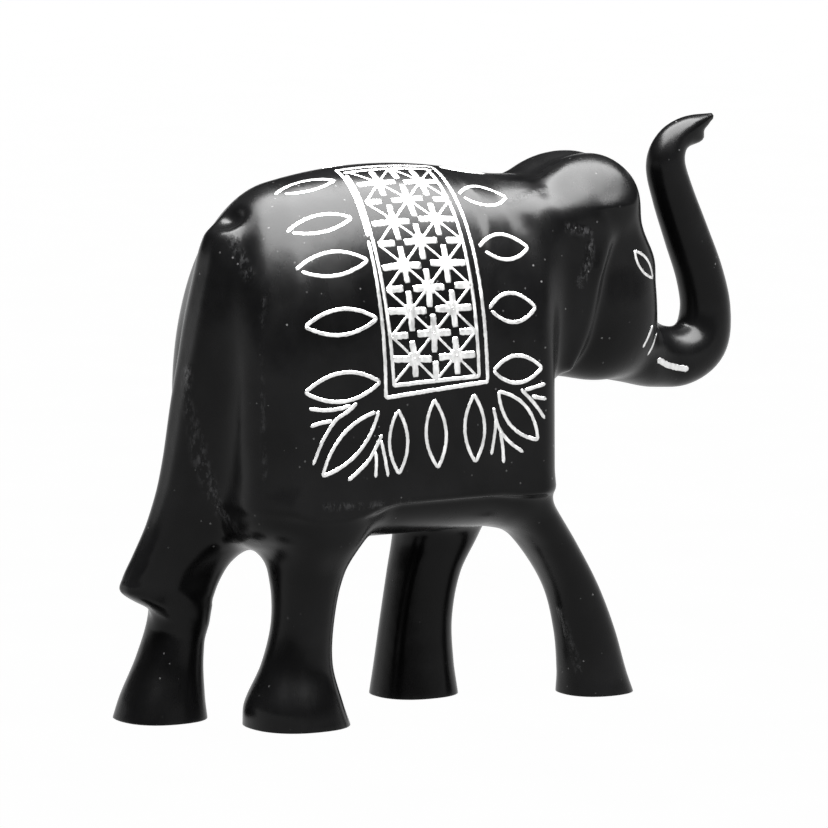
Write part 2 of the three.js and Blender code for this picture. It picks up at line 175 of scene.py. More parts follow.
# Head and neck: place ahead of the chest, jaw height, crown height, half width
HEAD = (
    (-5.7, 54.8, 93.4, 12.7),
    (0.4, 57.7, 95.2, 14.6),
    (7.5, 58.9, 96.9, 13.9),
    (13.6, 59.0, 98.9, 12.4),
    (18.7, 58.8, 99.7, 11.8),
    (23.8, 57.9, 98.7, 11.0),
    (27.8, 57.5, 96.0, 9.7),
    (30.9, 57.1, 88.3, 8.3),
    (32.9, 56.9, 79.2, 7.1),
)
NECK_REAR = -7.9

# Face in profile: height, place ahead of the chest
FACE = (
    (54.8, 37.0),
    (61, 33.9),
    (67, 30.9),
    (75, 31.4),
    (80, 31.2),
    (85.5, 28.1),
    (91.5, 26.2),
    (96.5, 25.2),
    (100.5, 23.4),
)

# Domes of the forehead, cheeks, and the hollow above the tail: centre, then half sizes
DOME_CENTRE, DOME_SIZE = (15.6, 5.6, 91.5), (10.2, 8.6, 8.0)
CHEEK_CENTRE, CHEEK_SIZE = (18.3, 5.6, 69.5), (11.6, 7.6, 11.3)
HOLLOW_CENTRE, HOLLOW_SIZE = (2.8, -0.9, 92.8), (3.5, 4.6, 3.1)

# Trunk along its centre line: place ahead of the chest, height, radius
TRUNK = (
    (26.8, 64.5, 6.6),
    (33.9, 61.3, 5.8),
    (40.0, 60.6, 5.7),
    (44.7, 63.2, 5.4),
    (46.0, 69.0, 4.8),
    (44.7, 75.6, 4.5),
    (41.7, 83.2, 4.3),
    (38.6, 90.9, 4.0),
    (36.9, 96.8, 3.7),
    (38.2, 100.8, 3.1),
    (41.8, 103.2, 2.5),
    (46.9, 105.4, 0.7),
)
LIP_CENTRE, LIP_SIZE = (42.7, 0, 101.8), (2.6, 1.8, 1.4)

# Ear: height, front edge ahead of the chest, width of the flap
EAR = (
    (58, 5.8, 5.8),
    (62.5, 8.9, 8.4),
    (67, 10.8, 9.8),
    (72.5, 12.3, 10.4),
    (78, 13.8, 11.6),
    (85.5, 16.4, 14.8),
    (91.5, 16.0, 19.6),
)

# How far around each part it is worked out, and the value given elsewhere
LEG_MARGIN = 12.0
BELLY_MARGIN = 4.0
HEAD_MARGIN = 16.0
TAIL_FRONT = 20.0
TRUNK_START = 15.0
FAR = 50.0

# Keeps divisions off zero
TINY = 1e-6


# Ways of joining two forms, and plain forms


def eased(share):
    share = np.clip(share, 0, 1)
    return share * share * (3 - 2 * share)


def smooth_join(a, b, reach):
    overlap = np.maximum(reach - np.abs(a - b), 0) / reach
    return np.minimum(a, b) - overlap * overlap * reach / 4


def rounded_meet(a, b, radius):
    outside = np.hypot(np.maximum(radius + a, 0), np.maximum(radius + b, 0))
    return np.minimum(-radius, np.maximum(a, b)) + outside


def oval(p, q, half_p, half_q, squareness=2.0):
    share_p = np.abs(p / half_p) + TINY
    share_q = np.abs(q / half_q) + TINY
    reach = (share_p**squareness + share_q**squareness) ** (1 / squareness)
    slope = np.hypot(share_p ** (squareness - 1) / half_p, share_q ** (squareness - 1) / half_q)
    return (reach - 1) * reach ** (squareness - 1) / slope


def ball(x, y, z, centre, size):
    share_x, share_y, share_z = [(value - c) / s for value, c, s in zip((x, y, z), centre, size)]
    reach = np.sqrt(share_x**2 + share_y**2 + share_z**2) + TINY
    slope = np.sqrt((share_x / size[0]) ** 2 + (share_y / size[1]) ** 2 + (share_z / size[2]) ** 2) + TINY
    return reach * (reach - 1) / slope


def through(stations, at, column):
    """A smooth value through rows of stations, held beyond both ends."""
    rows = np.array(stations, float)
    place, value = rows[:, 0], rows[:, column]
    before = np.maximum(np.arange(len(rows)) - 1, 0)
    after = np.minimum(np.arange(len(rows)) + 1, len(rows) - 1)
    slope = (value[after] - value[before]) / (place[after] - place[before])
    at = np.clip(at, place[0], place[-1])
    row = np.clip(np.searchsorted(place, at, side="right") - 1, 0, len(rows) - 2)
    width = place[row + 1] - place[row]
    t = (at - place[row]) / width
    start = value[row] * (1 + 2 * t) * (1 - t) ** 2 + slope[row] * width * t * (1 - t) ** 2
    end = value[row + 1] * t * t * (3 - 2 * t) + slope[row + 1] * width * t * t * (t - 1)
    return start + end


# Parts of the figure; the head's have x ahead of the chest

def flank(y, z):
    lean = FLANK_LEAN * np.maximum(WAIST_HEIGHT - z, 0) / (WAIST_HEIGHT - HEM_HEIGHT)
    return np.abs(y) - BODY_WIDTH / 2 - lean


def torso(x, y, z):
    back = BACK_HEIGHT - BACK_FALL * ((x - BACK_CREST) / BACK_SPAN) ** 2
    side = BODY_WIDTH / 2
    arch = oval(y, np.maximum(z - WAIST_HEIGHT, 0), side, back - WAIST_HEIGHT)
    section = np.where(z > WAIST_HEIGHT, arch, flank(y, z))
    bend = np.maximum(z - RUMP_BEND_HEIGHT, 0) / (BACK_HEIGHT - RUMP_BEND_HEIGHT)
    chest = BODY_LENGTH + CHEST_SWELL * (1 - (y / side) ** 2)
    body = rounded_meet(section, RUMP_LEAN * bend**2 - x, RUMP_ROUND)
    body = rounded_meet(body, x - chest, CHEST_ROUND)
    return rounded_meet(body, HEM_HEIGHT - z, HEM_ROUND)


def belly(x, y, z):
    half_height = (WAIST_HEIGHT - BELLY_HEIGHT) / 2
    half_width = BODY_WIDTH / 2 - HEM_STEP
    section = oval(y, z - BELLY_HEIGHT - half_height, half_width, half_height, BELLY_SQUARENESS)
    return rounded_meet(section, np.maximum(BELLY_REAR_INSET - x, x - BODY_LENGTH + HEM_STEP), BELLY_ROUND)


def leg(x, y, z, stations, side, foot_stance, top_squareness):
    rise = np.clip(z / HEM_HEIGHT, 0, 1)
    stance = foot_stance + (HIP_STANCE - foot_stance) * rise
    hip = np.maximum(rise - HIP_START, 0) / (1 - HIP_START)
    squareness = LEG_SQUARENESS + (top_squareness - LEG_SQUARENESS) * hip
    along = x - through(stations, z, 1)
    across = y - side * stance / 2
    section = oval(along, across, through(stations, z, 2), through(stations, z, 3), squareness)
    return rounded_meet(section, z - stations[-1][0], LEG_TOP_ROUND)


def tail(x, y, z):
    rear = through(TAIL, z, 1)
    across = np.abs(y - through(TAIL, z, 2)) - through(TAIL, z, 3)
    along = np.maximum(rear - x, x - rear - TAIL_DEPTH)
    tip = TAIL_TIP - TAIL_TIP_SLANT * (x + TAIL_DEPTH) - z
    sides = rounded_meet(along, across, TAIL_ROUND)
    return rounded_meet(sides, np.maximum(tip, z - TAIL_TOP), TAIL_TIP_ROUND)


def skull(x, y, z):
    jaw = through(HEAD, x, 1)
    crown = through(HEAD, x, 2)
    section = oval(y, z - (jaw + crown) / 2, through(HEAD, x, 3), (crown - jaw) / 2, HEAD_SQUARENESS)
    return np.maximum(rounded_meet(section, x - through(FACE, z, 1), FACE_ROUND), NECK_REAR - x)


def temples(x, y, z):
    side = np.abs(y)
    brow = side - BROW_SPREAD + BROW_LEAN * np.maximum(z - BROW_HEIGHT, 0)
    dome = rounded_meet(ball(x, side, z, DOME_CENTRE, DOME_SIZE), brow, BROW_ROUND)
    return smooth_join(dome, ball(x, side, z, CHEEK_CENTRE, CHEEK_SIZE), TEMPLE_BLEND)


def ear(x, y, z):
    side = np.abs(y)
    front = through(EAR, z, 1)
    shelf = z - EAR_SHELF_HEIGHT - EAR_SHELF_SLOPE * (EAR_SPREAD - side)
    ends = np.maximum(x - front, front - through(EAR, z, 2) - x)
    flap = rounded_meet(ends, shelf, EAR_CORNER)
    outline = np.maximum(np.maximum(flap, EAR_LOBE_HEIGHT - z), EAR_ROOT - side)
    hang = np.clip((EAR_SHELF_HEIGHT - z) / EAR_HANG, 0, 1)
    flare = EAR_TOP_FLARE + (EAR_FLARE - EAR_TOP_FLARE) * np.minimum(EAR_FLARE_START * hang, 1)
    return rounded_meet(outline, side - EAR_SPREAD - flare * x + EAR_BELLY * hang * hang, EAR_ROUND)


def trunk_line():
    rows = [(index, *row) for index, row in enumerate(TRUNK)]
    at = np.linspace(0, len(TRUNK) - 1, TRUNK_STEPS + 1)
    return np.stack([through(rows, at, column) for column in (1, 2, 3)], axis=1)


def trunk(x, y, z):
    line = trunk_line()
    nearest = np.full(np.shape(x), np.inf)
    for start, end in zip(line[:-1], line[1:]):
        run_x, run_z = end[0] - start[0], end[1] - start[1]
        t = np.clip(((x - start[0]) * run_x + (z - start[1]) * run_z) / (run_x**2 + run_z**2), 0, 1)
        away = np.sqrt((x - start[0] - t * run_x) ** 2 + y * y + (z - start[1] - t * run_z) ** 2)
        nearest = np.minimum(nearest, away - start[2] - t * (end[2] - start[2]))
    return smooth_join(nearest, ball(x, y, z, LIP_CENTRE, LIP_SIZE), LIP_BLEND)


def near(place, part, x, y, z):
    """The part's value at the points that are near it, and a far one elsewhere."""
    value = np.full(np.shape(x), FAR)
    if np.any(place):
        value[place] = part(x[place], y[place], z[place])
    return value


def head(x, y, z):
    form = smooth_join(skull(x, y, z), near(x > TRUNK_START, trunk, x, y, z), TRUNK_BLEND)
    form = smooth_join(form, temples(x, y, z), BROW_BLEND)
    return smooth_join(form, ear(x, y, z), EAR_BLEND)


LEGS = (
    (0, RIGHT_HIND_LEG, -1, HIND_STANCE, HIP_SQUARENESS),
    (0, LEFT_HIND_LEG, 1, HIND_STANCE, HIP_SQUARENESS),
    (BODY_LENGTH, RIGHT_FRONT_LEG, -1, FRONT_STANCE, LEG_SQUARENESS),
    (BODY_LENGTH, LEFT_FRONT_LEG, 1, FRONT_STANCE, LEG_SQUARENESS),
)


def elephant(x, y, z):
    low = z < HEM_HEIGHT + LEG_MARGIN
    middle = z < WAIST_HEIGHT + BELLY_MARGIN
    ahead = (x > BODY_LENGTH - HEAD_MARGIN) & (z > HEM_HEIGHT)
    form = smooth_join(torso(x, y, z), near(middle, belly, x, y, z), HEM_ROUND)
    rise = near(ahead, lambda *p: head(p[0] - BODY_LENGTH, *p[1:]), x, y, z)
    form = smooth_join(form, rise, NECK_BLEND)
    for start, *limb_sizes in LEGS:
        limb = near(low, lambda *p: leg(p[0] - start, *p[1:], *limb_sizes), x, y, z)
        form = smooth_join(form, limb, HIP_BLEND)
    form = np.maximum(form, flank(y, z))
    root = eased((z - TAIL_ROOT_LOW) / TAIL_ROOT_RISE) * eased((TAIL_ROOT_HIGH - z) / TAIL_ROOT_FALL)
    reach = TAIL_BLEND + (TAIL_ROOT_BLEND - TAIL_BLEND) * root
    form = smooth_join(form, near(x < TAIL_FRONT, tail, x, y, z), reach)
    return -smooth_join(-form, ball(x, y, z, HOLLOW_CENTRE, HOLLOW_SIZE), HOLLOW_BLEND)


# The net over the form: one point in each cell that the surface crosses, moved onto the surface

CELL = 0.65
BLOCK = 2
SOLE_ALLOWANCE = 2.0
NET_LOW = (-18.0, -25.0, -SOLE_ALLOWANCE - 2)
NET_HIGH = (113.0, 25.0, 109.0)
CORNERS = [(i, j, k) for i in (0, 1) for j in (0, 1) for k in (0, 1)]
PROBE = CELL / 20
LEAST_SLOPE = 0.05
EVEN_ROUNDS = 3


def steepness(field, points):
    """The field's value and slope at each point."""
    value = field(*points.T)
    slope = np.empty_like(points)
    for axis in range(3):
        ahead, behind = points.copy(), points.copy()
        ahead[:, axis] += PROBE
        behind[:, axis] -= PROBE
        slope[:, axis] = (field(*ahead.T) - field(*behind.T)) / (2 * PROBE)
    return value, slope


def settle(field, points, steps, reach):
    """Moves points along the slope onto the surface, no further than reach in a step."""
    for _ in range(steps):
        value, slope = steepness(field, points)
        step = -value[:, None] * slope / np.maximum((slope**2).sum(1), LEAST_SLOPE)[:, None]
        length = np.linalg.norm(step, axis=1)[:, None]
        points = points + step / np.maximum(length / reach, 1)
    return points


def crossings(values, axes):
    """The middle of the crossings in each mixed cell, and the cells' numbering."""
    inside = values < 0
    shape = tuple(np.array(values.shape) - 1)

    def at_corner(array, corner):
        return array[tuple(slice(c, c + n) for c, n in zip(corner, shape))]

    count = sum(at_corner(inside, corner).astype(int) for corner in CORNERS)
    mixed = (count > 0) & (count < len(CORNERS))
    number = np.full(shape, -1)
    number[mixed] = np.arange(mixed.sum())
    cell = np.argwhere(mixed)
    total, crossed = np.zeros((len(cell), 3)), np.zeros(len(cell))
    for corner in CORNERS:
        for axis in (n for n in range(3) if corner[n] == 0):
            other = tuple(1 if n == axis else c for n, c in enumerate(corner))
            a, b = at_corner(values, corner)[mixed], at_corner(values, other)[mixed]
            cut = (a < 0) != (b < 0)
            place = cell + np.array(corner, float)
            place[:, axis] += np.where(cut, a / np.where(cut, a - b, 1), 0)
            total[cut] += place[cut]
            crossed[cut] += 1
    low = np.array([axis[0] for axis in axes])
    return low + total / crossed[:, None] * CELL, number, inside


def net_quads(number, inside):
    """A quad for each grid edge that the surface cuts, facing outwards."""
    quads = []
    for axis in range(3):
        first, second = [(1, 2), (2, 0), (0, 1)][axis]
        here = inside[tuple(slice(0, -1) if n == axis else slice(None) for n in range(3))]
        ahead = inside[tuple(slice(1, None) if n == axis else slice(None) for n in range(3))]
        edge = np.argwhere(here != ahead)
        start = here[tuple(edge.T)]
        one, two = np.eye(3, dtype=int)[first], np.eye(3, dtype=int)[second]
        ring = [number[tuple((edge - back).T)] for back in (one + two, two, 0 * one, one)]
        quad = np.stack(ring, 1)
        quad[~start] = quad[~start][:, ::-1]
        quads.append(quad)
    return np.concatenate(quads)


def even_out(field, points, quads, rounds):
    """Draws each point towards the middle of its neighbours, along the surface."""
    for _ in range(rounds):
        total, count = np.zeros_like(points), np.zeros(len(points))
        for a, b in ((0, 1), (1, 2), (2, 3), (3, 0)):
            for start, end in ((a, b), (b, a)):
                np.add.at(total, quads[:, start], points[quads[:, end]])
                np.add.at(count, quads[:, start], 1)
        points = points + 0.5 * (total / count[:, None] - points)
        points = settle(field, points, 1, CELL / 2)
    return points


def net_over(field):
    axes = [np.arange(low, high, CELL) for low, high in zip(NET_LOW, NET_HIGH)]
    grid = np.meshgrid(*axes, indexing="ij")
    block = (slice(None, None, BLOCK),) * 3
    values = field(*(plane[block].ravel() for plane in grid)).reshape(grid[0][block].shape)
    for axis, count in enumerate(grid[0].shape):
        values = np.repeat(values, BLOCK, axis).take(np.arange(count), axis)
    close = np.abs(values) < 2 * BLOCK * CELL
    values[close] = field(*(plane[close] for plane in grid))
    points, number, inside = crossings(values, axes)
    quads = net_quads(number, inside)
    points = settle(field, points, 3, CELL / 2)
    points = even_out(field, points, quads, EVEN_ROUNDS)
    return settle(field, points, 2, CELL / 2), quads


# Places on the body's side: x ahead of the rump, and the arc down the side from the spine

ARC_STEPS = 400


def side_point(x, arc, side):
    """The point on the plain body at x and arc; side is -1 on the elephant's right, 1 on its left."""
    half, rise = BODY_WIDTH / 2, BACK_HEIGHT - WAIST_HEIGHT
    turn = np.linspace(0, math.pi / 2, ARC_STEPS)
    out, up = half * np.sin(turn), rise * np.cos(turn)
    length = np.concatenate([[0], np.cumsum(np.hypot(np.diff(out), np.diff(up)))])
    back = BACK_HEIGHT - BACK_FALL * ((x - BACK_CREST) / BACK_SPAN) ** 2
    across = np.interp(arc, length, out)
    height = WAIST_HEIGHT + np.interp(arc, length, up) * (back - WAIST_HEIGHT) / rise
    height = np.where(arc > length[-1], WAIST_HEIGHT - (arc - length[-1]), height)
    return np.stack([x, side * across, height], -1)


# Inlay wire and strips, drawn along lines on the surface

WIRE = 0.66
FINE_WIRE = 0.46
STRIP = 1.24
BORDER_WIRE = 0.7
STEP = 0.4
LEAF_POINTS = 9
EDGE_VARIES = 0.07
PROUD = 0.045
SINK = 0.2
ACROSS = np.array([-1, -1, -0.55, 0, 0.55, 1, 1])
LIFT = np.array([-SINK, 0.4 * PROUD, 0.9 * PROUD, PROUD, 0.9 * PROUD, 0.4 * PROUD, -SINK])


def smooth_line(points, step=STEP):
    """Evenly spaced points along a smooth curve through the given ones."""
    points = np.array(points, float)
    run = np.concatenate([[0], np.cumsum(np.linalg.norm(np.diff(points, axis=0), axis=1))])
    at = np.linspace(0, run[-1], max(int(round(run[-1] / step)), 3) + 1)
    if len(points) == 2:
        return np.stack([np.interp(at, run, points[:, axis]) for axis in range(2)], 1)
    rows = np.column_stack([run, points])
    return np.stack([through(rows, at, axis + 1) for axis in range(2)], 1)


class Inlay:
    """Collects bands of inlay on one surface and one side, as one mesh."""

    def __init__(self, place, seed):
        self.place = place
        self.random = np.random.default_rng(seed)
        self.points, self.faces, self.count = [], [], 0

    def band(self, line, width, blunt=0.35, end_share=0.35):
        """A band along a line of places, with rounded or cut ends and a hand-cut edge."""
        flat = smooth_line(line)
        middle = settle(casting, self.place(*flat.T), 3, 1.0)
        _, normal = steepness(casting, middle)
        normal /= np.linalg.norm(normal, axis=1)[:, None]
        along = np.gradient(middle, axis=0)
        across = np.cross(normal, along)
        across /= np.linalg.norm(across, axis=1)[:, None]
        run = np.concatenate([[0], np.cumsum(np.linalg.norm(np.diff(middle, axis=0), axis=1))])
        to_end = np.minimum(run, run[-1] - run)
        ends = np.sqrt(np.clip(to_end / (blunt * width), end_share**2, 1))
        wobble = 1 + EDGE_VARIES * self.random.standard_normal((2, len(run)))
        half = width / 2 * ends * np.where(ACROSS[:, None] < 0, wobble[0], wobble[1])
        ring = middle[None] + across[None] * (ACROSS[:, None] * half)[..., None]
        ring = settle(casting, ring.reshape(-1, 3), 2, 0.3).reshape(ring.shape)
        ring = ring + normal[None] * LIFT[:, None, None]
        self.add_tube(ring.transpose(1, 0, 2))

    def add_tube(self, rings):
        steps, corners = rings.shape[:2]
        first = self.count
        self.points.append(rings.reshape(-1, 3))
        for step in range(steps - 1):
            for corner in range(corners):
                a = first + step * corners + corner
                b = first + step * corners + (corner + 1) % corners
                self.faces.append((a, a + corners, b + corners, b))
        self.faces.append(tuple(first + corner for corner in range(corners)))
        last = first + (steps - 1) * corners
        self.faces.append(tuple(last + corner for corner in reversed(range(corners))))
        self.count += steps * corners

    def leaf(self, start, end, half_height, gap=0.0, width=WIRE):
        """A pointed leaf of two bowed wires between two tips; the lower wire may start a gap late."""
        start, end = np.array(start, float), np.array(end, float)
        square = np.array([start[1] - end[1], end[0] - start[0]]) / np.linalg.norm(end - start)
        for bow, first in ((-1, 0.0), (1, gap)):
            shares = np.linspace(first, 1, LEAF_POINTS)[:, None]
            rise = bow * half_height * 4 * shares * (1 - shares)
            self.band(start + shares * (end - start) + rise * square, width)


# The saddle cloth, in millimetres: x ahead of the rump, then arc down from the spine

CLOTH_REAR, CLOTH_FRONT = 24.9, 46.1
CLOTH_TOP, CLOTH_BOTTOM = 2.5, 48.0
BREAK_ARC = 19.5
LATTICE_REAR, LATTICE_FRONT = 26.6, 44.3
LATTICE_TOP, LATTICE_PITCH = 3.9, 4.24
LATTICE_ROWS = 10
LATTICE_COLUMNS = 4
ARM = 3.45
ARM_VARIES = 0.25
PLACE_VARIES = 0.12
TILT_VARIES = 0.09
CORE_REACH = 1.5
CORE_OVERLAP = 0.3
CUT_BLUNT = 0.15
CUT_END = 0.8


def cloth_borders(inlay):
    rear, front, top, bottom = CLOTH_REAR, CLOTH_FRONT, CLOTH_TOP, CLOTH_BOTTOM
    inlay.band([(rear + 0.3, top), (rear + 0.1, 12), (rear, BREAK_ARC - 0.35)], BORDER_WIRE)
    inlay.band([(rear - 0.1, BREAK_ARC + 0.35), (rear, 34), (rear, bottom + 0.9)], BORDER_WIRE)
    inlay.band([(front - 0.9, top), (front, 20), (front + 0.2, bottom - 0.8)], BORDER_WIRE)
    inlay.band([(rear, top - 0.1), (front - 0.6, top - 0.1)], BORDER_WIRE)
    inlay.band([(rear - 0.1, bottom + 0.8), (front + 0.4, bottom - 0.8)], BORDER_WIRE)
    rear, front = LATTICE_REAR, LATTICE_FRONT
    end = LATTICE_TOP + LATTICE_ROWS * LATTICE_PITCH
    inlay.band([(rear - 0.6, top + 2.2), (rear - 0.9, 20), (rear, end + 0.6)], BORDER_WIRE)
    inlay.band([(front - 0.9, top + 1.2), (front, 20), (front + 0.2, end)], BORDER_WIRE)
    inlay.band([(rear - 0.7, LATTICE_TOP), (front - 0.6, LATTICE_TOP)], BORDER_WIRE)
    inlay.band([(rear - 0.2, end + 0.4), (front + 0.4, end - 0.2)], BORDER_WIRE)


def bar(inlay, start, end):
    """A strip with square cut ends."""
    inlay.band([start, end], STRIP, blunt=CUT_BLUNT, end_share=CUT_END)


def star(inlay, x, arc, arms):
    """Thick bars along the given arms, with a small full core."""
    shift = inlay.random.uniform(-PLACE_VARIES, PLACE_VARIES, 2)
    x, arc = x + shift[0], arc + shift[1]
    for (along_x, along_arc), length in arms:
        tilt = inlay.random.uniform(-TILT_VARIES, TILT_VARIES)
        length += inlay.random.uniform(-ARM_VARIES, ARM_VARIES)
        end = (x + length * (along_x - tilt * along_arc), arc + length * (along_arc + tilt * along_x))
        bar(inlay, (x - CORE_OVERLAP * along_x, arc - CORE_OVERLAP * along_arc), end)
    for turn in (0.25, 0.75):
        reach_x, reach_arc = CORE_REACH * math.cos(turn * math.pi), CORE_REACH * math.sin(turn * math.pi)
        inlay.band([(x - reach_x, arc - reach_arc), (x + reach_x, arc + reach_arc)], STRIP)


def lattice(inlay):
    """Rows of stars, two and then one with a half star at each border, joined by fine diagonals."""
    pitch_x = (LATTICE_FRONT - LATTICE_REAR) / LATTICE_COLUMNS
    rear, front, up, down = (-1, 0), (1, 0), (0, -1), (0, 1)
    for row in range(LATTICE_ROWS + 1):
        arc = LATTICE_TOP + row * LATTICE_PITCH
        last = row == LATTICE_ROWS
        if row % 2:
            places = [(1, [(rear, pitch_x), (front, ARM)]), (3, [(rear, ARM), (front, ARM + 0.5)])]
            for column, arms in places:
                arms = arms + [(up, ARM), (down, ARM)]
                star(inlay, LATTICE_REAR + column * pitch_x, arc, arms)
        elif row in (0, LATTICE_ROWS):
            middle = LATTICE_REAR + 2 * pitch_x
            bar(inlay, (middle, arc), (middle, arc + (-ARM if last else ARM)))
        else:
            arms = [(rear, ARM), (front, ARM), (up, ARM), (down, ARM)]
            star(inlay, LATTICE_REAR + 2 * pitch_x, arc, arms)
            bar(inlay, (LATTICE_REAR, arc), (LATTICE_REAR + ARM, arc))
            bar(inlay, (LATTICE_FRONT, arc), (LATTICE_FRONT - ARM, arc))
    for row in range(LATTICE_ROWS):
        for column in range(LATTICE_COLUMNS):
            first, after = (column, column + 1) if (row + column) % 2 == 0 else (column + 1, column)
            start = (LATTICE_REAR + first * pitch_x, LATTICE_TOP + row * LATTICE_PITCH)
            end = (LATTICE_REAR + after * pitch_x, LATTICE_TOP + (row + 1) * LATTICE_PITCH)
            inlay.band([start, end], FINE_WIRE)


# Leaves behind, ahead of and below the cloth: tips, half height, and the gap at the first tip

REAR_LEAVES = (
    ((10.9, 5.2), (23.2, 5.7), 1.6, 0.14),
    ((9.5, 14.6), (22.9, 14.9), 1.8, 0.07),
    ((9.2, 22.5), (23.9, 23.5), 2.3, 0.07),
    ((9.1, 33.8), (24.0, 34.3), 2.4, 0),
    ((8.2, 46.5), (23.8, 45.8), 2.7, 0),
)
FRONT_LEAVES = (
    ((47.4, 1.9), (57.0, 1.9), 0.9, 0),
    ((46.9, 10.9), (56.8, 10.7), 2.4, 0.08),
    ((47.6, 22.0), (58.0, 21.3), 2.5, 0.1),
    ((47.6, 33.7), (57.6, 33.2), 2.8, 0.04),
    ((47.6, 45.3), (58.0, 45.1), 2.6, 0),
)
HANGING_LEAVES = (
    ((23.4, 51.0), (11.5, 62.0), 2.3, 0.04),
    ((27.4, 51.1), (27.4, 62.7), 1.9, 0.03),
    ((35.0, 49.8), (35.6, 62.2), 2.1, 0),
    ((43.4, 49.4), (43.5, 61.7), 2.1, 0),
    ((48.6, 49.2), (56.9, 58.6), 2.3, 0),
)
SPRIGS = (
    ((18.9, 49.3), (17.0, 50.7), (14.5, 52.1), (11.8, 55.5), (9.6, 59.8)),
    ((9.0, 49.7), (12.3, 50.2), (15.4, 50.1), (17.7, 49.7)),
    ((9.2, 52.9), (11.5, 52.4), (13.8, 52.2)),
    ((24.0, 55.3), (22.7, 57.5), (21.2, 59.7), (19.4, 61.3), (16.8, 63.1)),
    ((23.8, 56.4), (24.6, 60.1), (25.1, 63.0)),
    ((22.6, 58.4), (22.7, 60.0), (22.5, 63.0)),
    ((47.5, 52.1), (48.2, 54.9), (49.5, 57.2), (51.4, 59.0), (53.7, 60.6)),
    ((48.0, 54.2), (47.6, 57.2), (46.9, 60.6)),
    ((48.9, 56.4), (49.3, 59.3), (49.5, 62.3)),
    ((53.4, 49.1), (55.7, 51.3), (57.4, 53.3), (58.4, 54.8)),
    ((54.2, 49.3), (56.6, 48.8), (58.7, 48.3)),
    ((55.7, 50.5), (57.2, 50.9), (58.9, 51.2)),
)


def foliage(inlay):
    for start, end, half_height, gap in REAR_LEAVES + FRONT_LEAVES + HANGING_LEAVES:
        inlay.leaf(start, end, half_height, gap)
    for line in SPRIGS:
        inlay.band(line, WIRE)


# Head inlay: places are x ahead of the rump and height, on the side of the head

EYE_TIPS = ((83.9, 82.3), (89.0, 76.8))
EYE_HALF_HEIGHT = 1.2
EYE_WIRE = 0.55
TUSK_STRIP = 1.15
CHEEK_WIRE = 0.66
TUSK_BAND = ((91.6, 61.2), (95.5, 59.6), (99.8, 58.6))
CHEEK_WIRES = (((88.2, 68.2), (85.9, 64.2)), ((90.4, 66.4), (88.2, 62.4)))


def face_marks(inlay):
    inlay.leaf(*EYE_TIPS, EYE_HALF_HEIGHT, width=EYE_WIRE)
    inlay.band(TUSK_BAND, TUSK_STRIP)
    for line in CHEEK_WIRES:
        inlay.band(line, CHEEK_WIRE)


APPROACH_FROM = 20.0
APPROACH_STEPS = 60
APPROACH_SHARE = 0.7


def body_place(side):
    def place(x, arc):
        return side_point(x, arc, side)
    return place


def head_place(side):
    def place(x, z):
        """Comes in from the side until it meets the head."""
        y = np.full(np.shape(x), side * APPROACH_FROM)
        for _ in range(APPROACH_STEPS):
            y = y - side * APPROACH_SHARE * np.clip(casting(x, y, z), -1, 3)
        return np.stack([x, y, z], -1)
    return place


# Wear, rough casting and painted highlights on the right side: lines in millimetres, with their reach and
# strength

# Their grey is partly real wear, scratches and tool marks, and partly painted highlight, such as the lit
# facet below the rump hollow and the lit scratches along the hem.
WEAR_AND_HIGHLIGHT_LINES = (
    (((67.2, -14.2, 87.7), (69.9, -14.5, 87.2), (71.9, -14.7, 86.7), (72.3, -14.7, 84.3),
      (71.6, -14.5, 81.6), (70.6, -14.3, 78.9), (69.6, -14.2, 77.4)), 1.2, 0.65),
    (((-4.6, -0.8, 64.3), (-3.1, -2.3, 48.5), (-0.2, -2.5, 43.8), (1.9, -4.4, 39.3),
      (3.0, -11.6, 35.6)), 2.2, 0.5),
    (((3.0, -14.3, 78.2), (1.6, -16.6, 60.6), (1.8, -17.3, 46.3)), 0.8, 0.22),
    (((12.0, -20.7, 41.2), (20.0, -20.9, 40.7), (30.0, -20.9, 40.3)), 0.9, 0.35),
    (((68.5, -10.1, 16.3), (71.5, -11.8, 5.0)), 1.0, 0.8),
    (((1.8, -5.0, 89.5), (2.5, -5.5, 87.2), (2.3, -10.5, 82.3)), 1.8, 0.35),
    (((57.0, -10.5, 92.6), (61.5, -10.0, 93.2), (65.0, -9.0, 94.0)), 1.2, 0.4),
)


WEAR_AND_HIGHLIGHT_STEPS, WEAR_AND_HIGHLIGHT_STEP = 8, 2.0


def away_from(points, line):
    """Each point's distance from a line through the given places."""
    nearest = np.full(len(points), FAR)
    for start, end in zip(line[:-1], line[1:]):
        run = end - start
        share = np.clip((points - start) @ run / (run @ run), 0, 1)
        nearest = np.minimum(nearest, np.linalg.norm(points - start - share[:, None] * run, axis=1))
    return nearest


def add_wear_and_highlight(piece, points):
    """Keeps on each corner of the casting how much grey it gets for wear and for painted highlight, from 0
    to 1.
    """
    worn_and_lit = np.zeros(len(points))
    for line, reach, strength in WEAR_AND_HIGHLIGHT_LINES:
        line = settle(casting, np.array(line), WEAR_AND_HIGHLIGHT_STEPS, WEAR_AND_HIGHLIGHT_STEP)
        worn_and_lit = np.maximum(worn_and_lit, strength * eased(1 - away_from(points, line) / reach))
    piece.data.attributes.new("wear_and_highlight", "FLOAT", "POINT").data.foreach_set("value", worn_and_lit)


# Pieces

def to_frame(points):
    """From millimetres ahead of the rump to metres in the frame."""
    return (points - np.array([middle_x, 0, 0])) * MM


def add_piece(name, points, faces, material):
    mesh = bpy.data.meshes.new(name)
    mesh.from_pydata(points.tolist(), [], [tuple(face) for face in faces])
    mesh.validate()
    mesh.polygons.foreach_set("use_smooth", [True] * len(mesh.polygons))
    mesh.materials.append(material)
    piece = bpy.data.objects.new(name, mesh)
    bpy.context.scene.collection.objects.link(piece)
    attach(piece, "root")
    return piece


